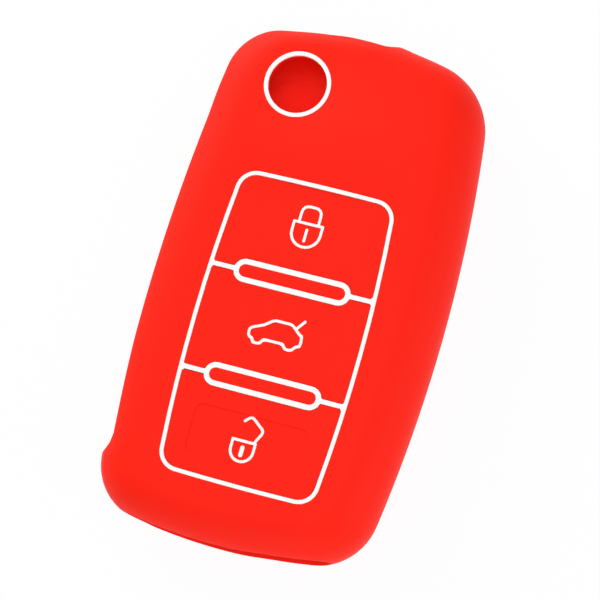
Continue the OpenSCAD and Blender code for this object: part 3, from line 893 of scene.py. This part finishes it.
class COVER_OT_white_lines(bpy.types.Operator):
    """Build the white ring round the window and the white frame round the pads"""

    bl_idname = "cover.white_lines"
    bl_label = "White lines"

    def execute(self, context):
        sizes = context.scene.cover_sizes
        white = silicone_material(WHITE_SILICONE)
        ring = build_from_solid("release_ring", sizes.rim_round)
        as_piece(ring, "window_line", white, "release_ring", "cover",
                 LINE_CREASE)
        lines = build_from_solid("button_frame", sizes.rim_round, sizes.join_round)
        as_piece(lines, "keypad_lines", white, "button_frame", "cover",
                 LINE_CREASE)
        return {"FINISHED"}


class COVER_OT_pads(bpy.types.Operator):
    """Build the three pads with their finger dishes"""

    bl_idname = "cover.pads"
    bl_label = "Pads"

    def execute(self, context):
        sizes = context.scene.cover_sizes
        for key in KEYS:
            pad = build_from_solid(key + "_pad", sizes.rim_round, sizes.join_round)
            as_piece(pad, key + "_button", silicone_material(RED_SILICONE), key + "_pad",
                     key + "_key", DISH_CREASE)
        return {"FINISHED"}


class COVER_OT_symbols(bpy.types.Operator):
    """Build the white pictograms in the pads"""

    bl_idname = "cover.symbols"
    bl_label = "Pictograms"

    def execute(self, context):
        sizes = context.scene.cover_sizes
        white = silicone_material(WHITE_SILICONE)
        for node, name, body in SYMBOLS:
            as_piece(build_from_solid(node, sizes.rim_round), name, white, node, body,
                     LINE_CREASE)
        return {"FINISHED"}


class COVER_OT_webs(bpy.types.Operator):
    """Build the flexing webs that carry the pads"""

    bl_idname = "cover.webs"
    bl_label = "Webs"

    def execute(self, context):
        sizes = context.scene.cover_sizes
        for key in KEYS:
            web = as_piece(build_web(key + "_web", sizes.web_round), key + "_collar",
                           silicone_material(RED_SILICONE), key + "_web", "cover",
                           CREASE)
            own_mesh(web)
        return {"FINISHED"}


class COVER_OT_stage(bpy.types.Operator):
    """Set up the white floor, the studio lights and the camera"""

    bl_idname = "cover.stage"
    bl_label = "Stage"

    def execute(self, context):
        build_floor()
        light_world(context.scene)
        for lamp in LAMPS:
            add_lamp(*lamp)
        add_camera(context.scene)
        context.scene.view_settings.view_transform = "Standard"
        return {"FINISHED"}


def seen_rays(tree):
    """1 for rays from the camera and for those that a shiny or clear surface sends on."""
    path = add_node(tree, "ShaderNodeLightPath")
    mirrored = maths(tree, "MAXIMUM", path.outputs["Is Glossy Ray"],
                     path.outputs["Is Transmission Ray"])
    return maths(tree, "MAXIMUM", path.outputs["Is Camera Ray"], mirrored)


def build_floor():
    """A white floor that keeps a faint shadow."""
    bm = bmesh.new()
    bmesh.ops.create_grid(bm, x_segments=1, y_segments=1, size=FLOOR_HALF)
    bmesh.ops.translate(bm, verts=bm.verts, vec=(0, 0, FLOOR_Z))
    mesh = bpy.data.meshes.new("floor")
    bm.to_mesh(mesh)
    bm.free()
    floor = bpy.data.objects.new("floor", mesh)
    bpy.context.scene.collection.objects.link(floor)
    material = bpy.data.materials.new("white floor")
    material.use_nodes = True
    tree = material.node_tree
    shader = tree.nodes["Principled BSDF"]
    shader.inputs["Base Color"].default_value = rgba(FLOOR_COLOUR)
    shader.inputs["Roughness"].default_value = 1
    shader.inputs["Specular IOR Level"].default_value = 0
    glow = add_node(tree, "ShaderNodeEmission")
    blend = add_node(tree, "ShaderNodeMixShader")
    link(tree, maths(tree, "MULTIPLY", seen_rays(tree), FLOOR_GLOW), blend.inputs["Fac"])
    link(tree, shader.outputs["BSDF"], blend.inputs[1])
    link(tree, glow.outputs["Emission"], blend.inputs[2])
    link(tree, blend.outputs["Shader"], tree.nodes["Material Output"].inputs["Surface"])
    mesh.materials.append(material)


def light_world(scene):
    """A white room: the camera sees it at full white, and the object is lit by less of it."""
    world = bpy.data.worlds.new("white room")
    world.use_nodes = True
    tree = world.node_tree
    room = tree.nodes["Background"]
    room.inputs["Color"].default_value = rgba((1, 1, 1))
    strength = maths(tree, "MULTIPLY_ADD", seen_rays(tree), 1 - ROOM_STRENGTH)
    strength.node.inputs[2].default_value = ROOM_STRENGTH
    link(tree, strength, room.inputs["Strength"])
    scene.world = world


def aimed(place, target):
    """The turn that points a lamp or a camera from its place at its target."""
    return (Vector(target) - Vector(place)).to_track_quat("-Z", "Y")


def add_lamp(name, place, target, size, power):
    """A square soft light, turned from its place towards its target."""
    data = bpy.data.lights.new(name, "AREA")
    data.size = size
    data.energy = power
    lamp = bpy.data.objects.new(name, data)
    lamp.location = place
    lamp.rotation_euler = aimed(place, target).to_euler()
    bpy.context.scene.collection.objects.link(lamp)


def add_camera(scene):
    """The camera, where the photograph was taken from."""
    data = bpy.data.cameras.new("camera")
    data.sensor_width = SENSOR
    data.lens = FOCAL_PIXELS * SENSOR / FRAME_PIXELS
    data.shift_x = -HALF_PIXEL / FRAME_PIXELS
    data.shift_y = HALF_PIXEL / FRAME_PIXELS
    data.clip_start = CLIP_START
    camera = bpy.data.objects.new("camera", data)
    camera.location = CAMERA_PLACE
    roll = Quaternion((0, 0, 1), CAMERA_ROLL)
    camera.rotation_euler = (aimed(CAMERA_PLACE, CAMERA_TARGET) @ roll).to_euler()
    scene.collection.objects.link(camera)
    scene.camera = camera


class COVER_PT_panel(bpy.types.Panel):
    """Buttons and values for each part of the cover"""

    bl_label = "Key fob cover"
    bl_space_type = "VIEW_3D"
    bl_region_type = "UI"
    bl_category = "Key fob cover"

    def draw(self, context):
        for group in (context.scene.cover_sizes, context.scene.cover_colours):
            column = self.layout.column()
            for name in group.__annotations__:
                column.prop(group, name)
        for operator in OPERATORS:
            self.layout.operator(operator.bl_idname)


OPERATORS = (
    COVER_OT_sleeve, COVER_OT_white_lines, COVER_OT_pads, COVER_OT_symbols, COVER_OT_webs,
    COVER_OT_stage,
)
CLASSES = (CoverSizes, CoverColours, *OPERATORS, COVER_PT_panel)


def register():
    for cls in CLASSES:
        bpy.utils.register_class(cls)
    bpy.types.Scene.cover_sizes = PointerProperty(type=CoverSizes)
    bpy.types.Scene.cover_colours = PointerProperty(type=CoverColours)


def unregister():
    del bpy.types.Scene.cover_colours
    del bpy.types.Scene.cover_sizes
    for cls in reversed(CLASSES):
        bpy.utils.unregister_class(cls)


def main():
    register()
    bpy.ops.cover.sleeve()
    bpy.ops.cover.white_lines()
    bpy.ops.cover.pads()
    bpy.ops.cover.symbols()
    bpy.ops.cover.webs()
    bpy.ops.cover.stage()


if __name__ == "__main__":
    main()
